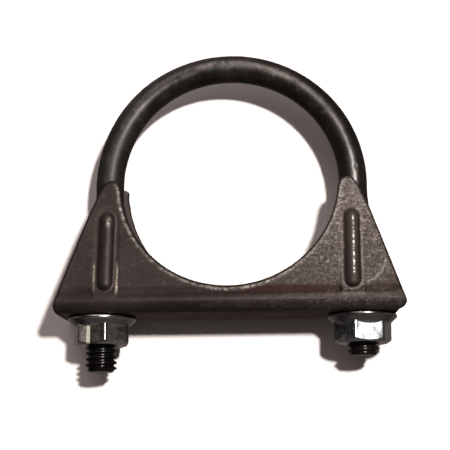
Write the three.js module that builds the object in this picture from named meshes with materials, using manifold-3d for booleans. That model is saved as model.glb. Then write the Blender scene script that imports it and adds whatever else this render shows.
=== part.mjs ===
// U-bolt pipe clamp: a round rod bent to a U with a rolled thread on each end,
// a one-piece stamped saddle that rides on the two legs, and two hexagon flange nuts.
//
// Frame, in millimetres: the origin is the centre of the pipe that the clamp holds,
// +Z runs along the pipe, +Y points to the crown of the U, and the nuts are towards -Y.
import * as THREE from "three";
import { mergeVertices } from "three/addons/utils/BufferGeometryUtils.js";
import Module from "manifold-3d";

const wasm = await Module();
wasm.setup();

// ---------------------------------------------------------------- driving dimensions
const ROD_DIA = 7.05; // plain rod, which is also the rolled thread's pitch diameter
const BEND_R = 30.9; // centreline radius of the crown
const STUD_X = 32.45; // half the distance between the two parallel threaded ends
const FLARE_TOP_Y = -1.5; // the legs spread from BEND_R to STUD_X between these heights
const FLARE_END_Y = -17.0;
const LEFT_END_Y = -46.9; // free ends of the two legs
const RIGHT_END_Y = -43.4;

const PITCH = 25.4 / 18; // 5/16-18 UNC, right-handed
const THREAD_MAJOR_R = 3.93;
const THREAD_ROOT_R = 3.2;
const THREAD_LENGTH = 25.4;
const THREAD_STEPS = 16; // facets in one turn
const END_CHAMFER = 0.9;

const SHEET_T = 2.3; // saddle sheet thickness
const BASE_Y = -33.2; // bearing face under the nuts
const BASE_HALF_W = 10.4; // half the channel's outer width at the base
const TIP_HALF_W = 6.5; // and at the tips of the ears
const TIP_Y = 0.5; // highest point of an ear
const FOLD_R = 3.0; // outer radius of the fold
const BASE_HALF_L = 43.05; // half the saddle's length
const SETBACK = 1.7; // how much shorter the back wall is at the right end
const SETBACK_X = 37.2; // where that begins
const BEARING_X = 23.4; // the base face between the nuts ends here on each side
const CRADLE_R = 27.0; // half-round seat for the pipe
const GROOVE_TOP_Y = -27.3; // pressed line along the foot of each wall
const GROOVE_MID_Y = -28.4;
const GROOVE_END_Y = -29.6;
const GROOVE_DEPTH = 0.65;
const RIB_X = 30.15; // pressed rib on each ear
const RIB_W = 4.0;
const RIB_TOP_Y = -8.0;
const RIB_END_Y = -27.9;
const RIB_RISE = 1.0;
const PAD_W = 5.8; // the groove stops under each rib over this width
const BOLT_HOLE_R = 4.5;

const NUT_AF = 12.7; // across flats
const NUT_H = 7.1;
const NUT_GAP = 0.2; // between the nut and the saddle, so that they stay apart
const FLANGE_R = 8.5;
const FLANGE_EDGE = 1.1; // thickness of the flange's rim
const NUT_CLEARANCE = 0.17; // all round the thread
const NUT_MINOR_R = 3.42;
const LEFT_NUT_TURN = 17; // degrees, how each hexagon happens to stand
const RIGHT_NUT_TURN = 43;

// ---------------------------------------------------------------- helpers
function solid(geometry) {
  const g = geometry.clone();
  for (const k of Object.keys(g.attributes))
    if (k !== "position") g.deleteAttribute(k);
  const m = mergeVertices(g, 1e-4);
  return new wasm.Manifold(
    new wasm.Mesh({
      numProp: 3,
      vertProperties: new Float32Array(m.attributes.position.array),
      triVerts: new Uint32Array(m.index.array),
    }),
  );
}

function geometryOf(manifold) {
  const mesh = manifold.getMesh();
  const g = new THREE.BufferGeometry();
  const p = new Float32Array(mesh.numVert * 3);
  for (let i = 0; i < mesh.numVert; i++)
    for (let k = 0; k < 3; k++)
      p[i * 3 + k] = mesh.vertProperties[i * mesh.numProp + k];
  g.setAttribute("position", new THREE.BufferAttribute(p, 3));
  g.setIndex(new THREE.BufferAttribute(new Uint32Array(mesh.triVerts), 1));
  return g;
}

const move = (g, x, y, z) => g.clone().translate(x, y, z);
const box = (x0, x1, y0, y1, z0, z1) =>
  move(
    new THREE.BoxGeometry(x1 - x0, y1 - y0, z1 - z0),
    (x0 + x1) / 2,
    (y0 + y1) / 2,
    (z0 + z1) / 2,
  );

// A solid of revolution about a line parallel to Y, from (radius, y) pairs given from low y to high y.
function turned(points, x, segments, turn = 0) {
  const g = new THREE.LatheGeometry(
    points.map(([r, y]) => new THREE.Vector2(r, y)),
    segments,
  );
  return g.rotateY(turn).translate(x, 0, 0);
}

// ---------------------------------------------------------------- screw thread
// A right-handed screw about the line x = axisX, advancing along -Y. `profile` lists (offset along the axis, radius)
// over one pitch, starting at the root. The surface is one helical strip with a closed end on each side.
function screw(axisX, sStart, turns, profile) {
  const n = THREAD_STEPS,
    k = profile.length,
    steps = n * turns;
  const pos = [],
    idx = [];
  const point = (s, r, a) => {
    // s grows along -Y, a turns by the right hand about -Y
    pos.push(axisX + r * Math.cos(a), -s, r * Math.sin(a));
    return pos.length / 3 - 1;
  };
  const V = [];
  for (let i = 0; i <= steps; i++) {
    const a = (2 * Math.PI * i) / n,
      s = sStart + (PITCH * i) / n;
    V.push(profile.map(([ds, r]) => point(s + ds, r, a)));
  }
  const tri = (a, b, c) => idx.push(a, b, c);
  // flanks, crest and root within one pitch
  for (let i = 0; i < steps; i++)
    for (let j = 0; j + 1 < k; j++) {
      tri(V[i][j], V[i + 1][j], V[i + 1][j + 1]);
      tri(V[i][j], V[i + 1][j + 1], V[i][j + 1]);
    }
  // from the last row of one turn to the first row of the next
  for (let i = 0; i + n < steps; i++) {
    tri(V[i][k - 1], V[i + 1][k - 1], V[i + 1 + n][0]);
    tri(V[i][k - 1], V[i + 1 + n][0], V[i + n][0]);
  }
  // each end is closed to one point on the axis
  const c0 = point(sStart + PITCH / 2, 0, 0),
    c1 = point(sStart + (PITCH * steps) / n, 0, 0);
  for (let i = 0; i < n; i++) {
    tri(c0, V[i + 1][0], V[i][0]);
    tri(c1, V[steps - n + i][k - 1], V[steps - n + i + 1][k - 1]);
  }
  const start = [...V[0], V[n][0]],
    stop = [V[steps - n][k - 1], ...V[steps]];
  for (let i = 0; i < k; i++) {
    tri(c0, start[i], start[i + 1]);
    tri(c1, stop[i + 1], stop[i]);
  }
  const g = new THREE.BufferGeometry();
  g.setAttribute(
    "position",
    new THREE.BufferAttribute(new Float32Array(pos), 3),
  );
  g.setIndex(idx);
  return g.toNonIndexed();
}

const phase = 0; // both studs and both nuts start their thread at angle 0 on the same lattice of turns
const latticeStart = (s) => Math.floor((s - phase) / PITCH) * PITCH + phase;

// ---------------------------------------------------------------- u_bolt
class UCentreline extends THREE.Curve {
  constructor(leftY, rightY) {
    super();
    this.pts = [];
    const flareX = (y) => {
      const t = THREE.MathUtils.clamp(
        (FLARE_TOP_Y - y) / (FLARE_TOP_Y - FLARE_END_Y),
        0,
        1,
      );
      return BEND_R + (STUD_X - BEND_R) * t * t * (3 - 2 * t);
    };
    const ys = [leftY, FLARE_END_Y - 0.6];
    for (let i = 0; i <= 6; i++)
      ys.push(FLARE_END_Y + ((FLARE_TOP_Y - FLARE_END_Y) * i) / 6);
    for (const y of ys) this.pts.push(new THREE.Vector3(-flareX(y), y, 0));
    const N = 32;
    for (let i = 0; i <= N; i++) {
      const a = Math.PI - (Math.PI * i) / N;
      this.pts.push(
        new THREE.Vector3(BEND_R * Math.cos(a), BEND_R * Math.sin(a), 0),
      );
    }
    const ysR = [rightY, ...ys.slice(1)].reverse();
    for (const y of ysR) this.pts.push(new THREE.Vector3(flareX(y), y, 0));
  }
  getPoint(t, target = new THREE.Vector3()) {
    const n = this.pts.length - 1,
      i = Math.min(n - 1, Math.floor(t * n + 1e-9)),
      f = t * n - i;
    return target.copy(this.pts[i]).lerp(this.pts[i + 1], f);
  }
  getPointAt(t, target) {
    return this.getPoint(t, target);
  }
  getTangent(t, target = new THREE.Vector3()) {
    const n = this.pts.length - 1,
      i = Math.round(t * n);
    const a = this.pts[Math.max(0, i - 1)],
      b = this.pts[i],
      c = this.pts[Math.min(n, i + 1)];
    const u = b.clone().sub(a),
      v = c.clone().sub(b);
    if (i === 0) return target.copy(v).normalize();
    if (i === n) return target.copy(u).normalize();
    return target.copy(u.normalize().add(v.normalize())).normalize();
  }
  getTangentAt(t, target) {
    return this.getTangent(t, target);
  }
}

const LEFT_THREAD_Y = LEFT_END_Y + THREAD_LENGTH; // where each thread runs out
const RIGHT_THREAD_Y = RIGHT_END_Y + THREAD_LENGTH;

function uBolt() {
  const line = new UCentreline(LEFT_THREAD_Y - 0.01, RIGHT_THREAD_Y - 0.01);
  const ring = new THREE.Shape();
  const sides = 16;
  for (let i = 0; i < sides; i++) {
    const a = (2 * Math.PI * i) / sides,
      r = ROD_DIA / 2;
    i
      ? ring.lineTo(r * Math.cos(a), r * Math.sin(a))
      : ring.moveTo(r * Math.cos(a), r * Math.sin(a));
  }
  ring.closePath();
  let body = solid(
    new THREE.ExtrudeGeometry(ring, {
      steps: line.pts.length - 1,
      extrudePath: line,
      bevelEnabled: false,
    }),
  );
  if (body.volume() < 0) throw new Error("rod is inside out");
  const P = PITCH;
  const profile = [
    [0, THREAD_ROOT_R],
    [P * 0.2, THREAD_ROOT_R],
    [P * 0.5, THREAD_MAJOR_R],
    [P * 0.7, THREAD_MAJOR_R],
  ];
  for (const [x, endY, threadY] of [
    [-STUD_X, LEFT_END_Y, LEFT_THREAD_Y],
    [STUD_X, RIGHT_END_Y, RIGHT_THREAD_Y],
  ]) {
    const s0 = latticeStart(-threadY - 2 * P) - P;
    const turns = Math.ceil((-endY - s0) / P) + 2;
    const thread = solid(screw(x, s0, turns, profile));
    const envelope = solid(
      turned(
        [
          [0, endY],
          [THREAD_ROOT_R - 0.15, endY],
          [THREAD_MAJOR_R + 0.05, endY + END_CHAMFER],
          [THREAD_MAJOR_R + 0.05, threadY - 1.6],
          [ROD_DIA / 2 - 0.2, threadY + 0.4],
          [0, threadY + 0.4],
        ],
        x,
        24,
      ),
    );
    body = body.add(thread.intersect(envelope));
  }
  return body;
}

// ---------------------------------------------------------------- saddle
// Half-width of the wall's outer face at height y.
const wallZ = (y) =>
  BASE_HALF_W -
  0.35 +
  ((TIP_HALF_W - BASE_HALF_W + 0.35) * (y - GROOVE_TOP_Y)) /
    (TIP_Y - GROOVE_TOP_Y);
const WALL_LEAN = Math.atan2(
  wallZ(GROOVE_TOP_Y) - wallZ(TIP_Y),
  TIP_Y - GROOVE_TOP_Y,
);

// The folded section across the channel, with or without the pressed line along its foot.
function channel(x0, x1, grooved) {
  const top = TIP_Y + 2;
  const t = SHEET_T / Math.cos(WALL_LEAN);
  const half = []; // outer line, from the middle of the web up one wall, as (z, y)
  half.push([BASE_HALF_W - FOLD_R, BASE_Y]);
  for (const a of [30, 60])
    half.push([
      BASE_HALF_W - FOLD_R + FOLD_R * Math.sin((a * Math.PI) / 180),
      BASE_Y + FOLD_R - FOLD_R * Math.cos((a * Math.PI) / 180),
    ]);
  half.push([BASE_HALF_W, BASE_Y + FOLD_R]);
  if (grooved) {
    half.push([BASE_HALF_W - 0.02, GROOVE_END_Y]);
    half.push([wallZ(GROOVE_MID_Y) - GROOVE_DEPTH, GROOVE_MID_Y]);
    half.push([wallZ(GROOVE_TOP_Y), GROOVE_TOP_Y]);
  } else {
    half.push([BASE_HALF_W - 0.02, GROOVE_END_Y]);
    half.push([wallZ(GROOVE_TOP_Y) + 0.05, GROOVE_TOP_Y]);
  }
  half.push([wallZ(top), top]);
  const inner = []; // inner line, from the top of the wall down to the middle of the web
  inner.push([wallZ(top) - t, top]);
  if (grooved) {
    inner.push([wallZ(GROOVE_TOP_Y + 0.5) - t, GROOVE_TOP_Y + 0.5]);
    inner.push([
      wallZ(GROOVE_MID_Y) - t - GROOVE_DEPTH * 0.8,
      GROOVE_MID_Y + 0.1,
    ]);
    inner.push([BASE_HALF_W - SHEET_T - 0.15, GROOVE_END_Y]);
  } else {
    inner.push([wallZ(GROOVE_TOP_Y) - t, GROOVE_TOP_Y]);
    inner.push([BASE_HALF_W - SHEET_T - 0.1, GROOVE_END_Y]);
  }
  inner.push([BASE_HALF_W - FOLD_R, BASE_Y + SHEET_T]);
  const outline = [
    ...half,
    ...inner,
    ...[...inner].reverse().map(([z, y]) => [-z, y]),
    ...[...half].reverse().map(([z, y]) => [-z, y]),
  ];
  const shape = new THREE.Shape(outline.map(([z, y]) => new THREE.Vector2(z, y)));
  const g = new THREE.ExtrudeGeometry(shape, {
    depth: x1 - x0,
    bevelEnabled: false,
  });
  return g.rotateY(Math.PI / 2).translate(x0, 0, 0);
}

// The flat pattern of one wall, seen along Z: ears, half-round seat and sloping ends.
function wallOutline() {
  // the right end's lower corner is trimmed, the left one is nearly square
  const rightCorner = [
    [BASE_HALF_L - 2.65, BASE_Y - 0.5],
    [BASE_HALF_L - 0.85, BASE_Y + 0.6],
    [BASE_HALF_L, BASE_Y + 1.9],
  ];
  const leftCorner = [
    [BASE_HALF_L - 0.75, BASE_Y - 0.5],
    [BASE_HALF_L - 0.1, BASE_Y + 0.7],
    [BASE_HALF_L, BASE_Y + 1.9],
  ];
  const ear = [
    [34.95, -8.6],
    [34.1, -6.6],
    [33.4, -4.9],
    [32.7, -3.2],
    [32.0, -1.75],
    [31.3, -0.7],
    [30.6, 0.05],
    [29.9, 0.42],
    [29.1, TIP_Y],
    [28.4, 0.3],
    [27.75, -0.35],
    [27.3, -1.3],
  ];
  const pts = [...rightCorner, ...ear];
  const a0 = Math.asin(-2.6 / CRADLE_R),
    N = 34;
  for (let i = 0; i <= N; i++) {
    const a = a0 - ((Math.PI + 2 * a0) * i) / N;
    pts.push([CRADLE_R * Math.cos(a), CRADLE_R * Math.sin(a)]);
  }
  for (const [x, y] of [...leftCorner, ...ear].reverse()) pts.push([-x, y]);
  const shape = new THREE.Shape(pts.map(([x, y]) => new THREE.Vector2(x, y)));
  return new THREE.ExtrudeGeometry(shape, {
    depth: 40,
    bevelEnabled: false,
  }).translate(0, 0, -20);
}

// A stadium-shaped rib or recess lying on a wall, `rise` above the datum of that wall's face.
function rib(x, side, width, y0, y1, below, rise, crown, datum) {
  const r = width / 2 - crown,
    half = (y0 - y1) / 2 - width / 2;
  const s = new THREE.Shape();
  s.absarc(0, half, r, 0, Math.PI, false);
  s.absarc(0, -half, r, Math.PI, 2 * Math.PI, false);
  s.closePath();
  const g = new THREE.ExtrudeGeometry(s, {
    depth: below + rise - crown,
    bevelEnabled: true,
    bevelThickness: crown,
    bevelSize: crown,
    bevelSegments: 2,
    curveSegments: 8,
  });
  g.translate(0, 0, -below);
  g.rotateX(-WALL_LEAN);
  const ym = (y0 + y1) / 2;
  g.translate(x, ym, wallZ(ym) - datum);
  if (side < 0) g.rotateY(Math.PI).translate(2 * x, 0, 0);
  return g;
}

function saddle() {
  const pads = [
    [-RIB_X - PAD_W / 2, -RIB_X + PAD_W / 2],
    [RIB_X - PAD_W / 2, RIB_X + PAD_W / 2],
  ];
  let s = solid(channel(-60, 60, true));
  const plain = solid(channel(-60, 60, false));
  for (const [a, b] of pads) {
    const zone = solid(box(a, b, BASE_Y - 5, TIP_Y + 5, -30, 30));
    s = s.subtract(zone).add(plain.intersect(zone));
  }
  s = s.intersect(solid(wallOutline()));
  for (const x of [-RIB_X, RIB_X])
    for (const side of [1, -1]) {
      s = s.add(
        solid(
          rib(x, side, RIB_W, RIB_TOP_Y, RIB_END_Y, 1.0, RIB_RISE, 0.75, 0),
        ),
      );
      s = s.subtract(
        solid(
          rib(
            x,
            side,
            RIB_W - 1.9,
            RIB_TOP_Y - 1.0,
            RIB_END_Y + 1.6,
            1.4,
            RIB_RISE * 0.8,
            0.5,
            SHEET_T,
          ),
        ),
      );
    }
  for (const x of [-STUD_X, STUD_X])
    s = s.subtract(
      solid(
        turned(
          [
            [0, BASE_Y - 2],
            [BOLT_HOLE_R, BASE_Y - 2],
            [BOLT_HOLE_R, BASE_Y + SHEET_T + 1],
            [0, BASE_Y + SHEET_T + 1],
          ],
          x,
          28,
        ),
      ),
    );
  return s;
}

// Sets the back wall back at the right end. Every point moves along X only, so the walls stay flat.
function setBack(geometry) {
  const p = geometry.attributes.position;
  for (let i = 0; i < p.count; i++) {
    const across = THREE.MathUtils.clamp(
      (BASE_HALF_W - p.getZ(i)) / (2 * BASE_HALF_W),
      0,
      1,
    );
    const along = THREE.MathUtils.smoothstep(
      p.getX(i),
      SETBACK_X,
      BASE_HALF_L,
    );
    p.setX(i, p.getX(i) - SETBACK * across * along);
  }
  return geometry;
}

// Ends faces at x = at, so that the stretch between the nuts is a face of its own.
function endFacesAt(geometry, at) {
  const p = geometry.attributes.position,
    idx = geometry.index;
  const xyz = Array.from(p.array),
    made = new Map(),
    out = [];
  const cross = (a, b) => {
    const [lo, hi] = a < b ? [a, b] : [b, a];
    const key = `${lo}_${hi}`;
    if (!made.has(key)) {
      const t = (at - xyz[3 * lo]) / (xyz[3 * hi] - xyz[3 * lo]);
      made.set(key, xyz.length / 3);
      xyz.push(at);
      for (const k of [1, 2])
        xyz.push(xyz[3 * lo + k] + t * (xyz[3 * hi + k] - xyz[3 * lo + k]));
    }
    return made.get(key);
  };
  for (let f = 0; f < idx.count; f += 3) {
    let t = [idx.getX(f), idx.getX(f + 1), idx.getX(f + 2)];
    const side = t.map((i) => Math.sign(Math.round((xyz[3 * i] - at) * 1e4)));
    if (Math.min(...side) >= 0 || Math.max(...side) <= 0) {
      out.push(...t);
      continue;
    }
    // start at the corner that is alone on its side, or that lies on the cut
    const sum = side[0] + side[1] + side[2];
    let k = sum === 0 ? side.indexOf(0) : side.indexOf(-Math.sign(sum));
    t = [t[k], t[(k + 1) % 3], t[(k + 2) % 3]];
    if (sum === 0) {
      const m = cross(t[1], t[2]);
      out.push(t[0], t[1], m, t[0], m, t[2]);
    } else {
      const a = cross(t[0], t[1]),
        b = cross(t[0], t[2]);
      out.push(t[0], a, b, a, t[1], t[2], a, t[2], b);
    }
  }
  const g = new THREE.BufferGeometry();
  g.setAttribute("position", new THREE.Float32BufferAttribute(xyz, 3));
  g.setIndex(out);
  return g;
}

// ---------------------------------------------------------------- flange nuts
function flangeNut(x, turnDeg) {
  const y0 = BASE_Y - NUT_GAP, // bearing face
    y1 = y0 - NUT_H; // outer end
  const turn = THREE.MathUtils.degToRad(turnDeg);
  const hexR = NUT_AF / 2 / Math.cos(Math.PI / 6);
  // a corner of the hexagon points along +Z and is then turned towards +X
  const hex = solid(
    turned(
      [
        [0, y1],
        [hexR, y1],
        [hexR, y0 - 0.4],
        [0, y0 - 0.4],
      ],
      x,
      6,
      turn,
    ),
  );
  const crown = solid(
    turned(
      [
        [0, y1],
        [NUT_AF / 2 - 0.35, y1],
        [hexR + 0.1, y1 + 1.05],
        [hexR + 0.1, y0],
        [0, y0],
      ],
      x,
      36,
    ),
  );
  const flange = solid(
    turned(
      [
        [0, y0 - 2.75],
        [6.15, y0 - 2.75],
        [7.1, y0 - 1.85],
        [FLANGE_R - 0.2, y0 - FLANGE_EDGE - 0.05],
        [FLANGE_R, y0 - FLANGE_EDGE + 0.25],
        [FLANGE_R, y0 - 0.25],
        [FLANGE_R - 0.2, y0],
        [0, y0],
      ],
      x,
      36,
    ),
  );
  let nut = hex.intersect(crown).add(flange);
  const P = PITCH,
    c = NUT_CLEARANCE;
  const s0 = latticeStart(-y0 - 2 * P) - P;
  const turns = Math.ceil((-y1 - s0) / P) + 3;
  const tap = solid(
    screw(x, s0, turns, [
      [-c * 0.9 + P * 0.05, NUT_MINOR_R],
      [P * 0.2 - c * 0.1, NUT_MINOR_R],
      [P * 0.5 - c * 0.9, THREAD_MAJOR_R + c],
      [P * 0.7 + c * 0.9, THREAD_MAJOR_R + c],
    ]),
  );
  nut = nut.subtract(tap);
  // countersinks
  for (const [ya, yb] of [
    [y0 + 0.3, y0 - 0.75],
    [y1 - 0.3, y1 + 0.75],
  ]) {
    const wide = THREAD_MAJOR_R + c + 0.45,
      narrow = NUT_MINOR_R - 0.15;
    const pts =
      ya > yb
        ? [
            [0, yb],
            [narrow, yb],
            [wide, ya],
            [0, ya],
          ]
        : [
            [0, ya],
            [wide, ya],
            [narrow, yb],
            [0, yb],
          ];
    nut = nut.subtract(solid(turned(pts, x, 28)));
  }
  return nut;
}

// ---------------------------------------------------------------- assembly
const rodSteel = new THREE.MeshStandardMaterial({
  color: 0x3a302b,
  roughness: 0.42,
  metalness: 0.85,
});
const sheetSteel = new THREE.MeshStandardMaterial({
  color: 0x4a423e,
  roughness: 0.55,
  metalness: 0.8,
});
const zincPlate = new THREE.MeshStandardMaterial({
  color: 0xaab2b4,
  roughness: 0.3,
  metalness: 0.95,
});

const group = new THREE.Group();
const put = (name, geometry, material) => {
  const flat = geometry.toNonIndexed();
  flat.computeVertexNormals();
  const mesh = new THREE.Mesh(flat, material);
  mesh.name = name;
  group.add(mesh);
};
put("u_bolt", geometryOf(uBolt()), rodSteel);
const saddleGeometry = [-BEARING_X, BEARING_X].reduce(
  endFacesAt,
  setBack(geometryOf(saddle())),
);
put("saddle", saddleGeometry, sheetSteel);
put(
  "left_flange_nut",
  geometryOf(flangeNut(-STUD_X, LEFT_NUT_TURN)),
  zincPlate,
);
put(
  "right_flange_nut",
  geometryOf(flangeNut(STUD_X, RIGHT_NUT_TURN)),
  zincPlate,
);

export default group;
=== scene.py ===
import math

import bmesh
import bpy
import numpy as np
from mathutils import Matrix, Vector, noise


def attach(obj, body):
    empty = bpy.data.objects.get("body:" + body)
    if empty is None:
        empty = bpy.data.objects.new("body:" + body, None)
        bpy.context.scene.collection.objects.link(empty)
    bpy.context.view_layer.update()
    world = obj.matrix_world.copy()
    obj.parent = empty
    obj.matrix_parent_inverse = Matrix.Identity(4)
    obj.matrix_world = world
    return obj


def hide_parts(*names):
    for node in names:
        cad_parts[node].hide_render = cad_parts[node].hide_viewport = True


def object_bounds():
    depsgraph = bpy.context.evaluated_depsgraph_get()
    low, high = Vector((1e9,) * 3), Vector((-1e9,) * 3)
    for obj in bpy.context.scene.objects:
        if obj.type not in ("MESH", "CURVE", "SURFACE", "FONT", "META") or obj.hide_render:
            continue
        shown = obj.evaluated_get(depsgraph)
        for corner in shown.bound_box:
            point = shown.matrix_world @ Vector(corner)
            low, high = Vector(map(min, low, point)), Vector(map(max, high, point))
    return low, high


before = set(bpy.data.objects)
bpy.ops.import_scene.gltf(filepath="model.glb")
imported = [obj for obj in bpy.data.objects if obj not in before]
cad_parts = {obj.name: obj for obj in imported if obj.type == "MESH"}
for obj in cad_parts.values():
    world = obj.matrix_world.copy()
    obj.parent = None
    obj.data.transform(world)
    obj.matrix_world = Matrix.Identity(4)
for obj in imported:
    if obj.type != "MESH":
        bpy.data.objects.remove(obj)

cad_lo, cad_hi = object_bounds()

# ------------------------------------------------------------------ sizes, mm, as in the part's source
ROD_R = 7.05 / 2
BEND_R = 30.9
STUD_X = 32.45
FLARE_TOP_Y, FLARE_END_Y = -1.5, -17.0
LEFT_END_Y, RIGHT_END_Y = -46.9, -43.4
PITCH = 25.4 / 18
MAJOR_R, ROOT_R = 3.92, 3.19
THREAD_LENGTH = 25.4

SHEET_T = 2.3
BASE_Y = -33.2
FOLD_R = 3.0
CRADLE_R = 27.0
TIP_Y = 0.5
WALL_REF_Y, WALL_REF_Z, WALL_TIP_Z = -27.3, 10.05, 6.5
RIB_X, RIB_W, RIB_TOP_Y, RIB_END_Y, RIB_RISE = 30.15, 4.0, -8.0, -27.9, 0.98
PAD_W = 5.8
BOLT_HOLE_R = 4.5

NUT_AF, NUT_H, NUT_GAP = 12.7, 7.1, 0.2
FLANGE_R = 8.5
NUT_MINOR_R = 3.42
LEFT_NUT_TURN, RIGHT_NUT_TURN = 17.0, 43.0

MM = 0.001


def smooth01(t):
    t = np.clip(t, 0.0, 1.0)
    return t * t * (3 - 2 * t)


def smax(a, b, k):
    """Rounded maximum, with a fillet of about k."""
    h = np.clip(0.5 + 0.5 * (a - b) / k, 0, 1)
    return b * (1 - h) + a * h + k * h * (1 - h)


def smin(a, b, k):
    return -smax(-np.asarray(a), -np.asarray(b), k)


def wave(p, scale, seed, octaves=3):
    """Smooth noise of about unit size at (n, 3) points in mm."""
    off = Vector((seed * 7.31, seed * 3.77, seed * 5.13))
    return np.array([noise.fractal(Vector(q) / scale + off, 0.9, 2.0, octaves) for q in p])


def make_object(name, verts, faces, sharp_deg=None, merge=None, attrs=None):
    """A mesh object from points in mm. Zero-area faces are merged away, and edges sharper than sharp_deg stay crisp."""
    me = bpy.data.meshes.new(name)
    me.from_pydata((np.asarray(verts, float) * MM).tolist(), [], faces)
    for k, v in (attrs or {}).items():
        a = me.attributes.new(k, "FLOAT", "POINT")
        a.data.foreach_set("value", np.asarray(v, np.float32))
    if merge:
        bm = bmesh.new()
        bm.from_mesh(me)
        bmesh.ops.remove_doubles(bm, verts=bm.verts, dist=merge * MM)
        bmesh.ops.dissolve_degenerate(bm, edges=bm.edges, dist=merge * MM * 0.5)
        bmesh.ops.recalc_face_normals(bm, faces=bm.faces)
        bm.to_mesh(me)
        bm.free()
    me.validate()
    me.shade_smooth()
    if sharp_deg:
        me.set_sharp_from_angle(angle=math.radians(sharp_deg))
    ob = bpy.data.objects.new(name, me)
    bpy.context.collection.objects.link(ob)
    return ob


def ring_faces(rows, cols, base=0):
    """Quads between consecutive closed rings."""
    f = []
    for j in range(rows - 1):
        a, b = base + j * cols, base + (j + 1) * cols
        for i in range(cols):
            k = (i + 1) % cols
            f.append((a + i, a + k, b + k, b + i))
    return f


def flip_if_inside_out(verts, faces):
    v = np.asarray(verts, float)
    vol = 0.0
    for f in faces:
        p0 = v[f[0]]
        for a, b in zip(f[1:-1], f[2:]):
            vol += np.dot(p0, np.cross(v[a], v[b]))
    return [tuple(reversed(f)) for f in faces] if vol < 0 else faces


# ------------------------------------------------------------------ u_bolt
def flare_x(y):
    return BEND_R + (STUD_X - BEND_R) * smooth01((FLARE_TOP_Y - np.asarray(y, float)) / (FLARE_TOP_Y - FLARE_END_Y))


def thread_form(u):
    """Height of the thread, 0 at the root and 1 at the crest, over one pitch, with rolled, slightly rounded edges."""
    u = np.mod(u, 1.0)
    f = np.where(u < 0.2, 0.0, np.where(u < 0.5, (u - 0.2) / 0.3, np.where(u < 0.7, 1.0, (1.0 - u) / 0.3)))
    return 0.55 * f + 0.45 * smooth01(f)


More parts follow.
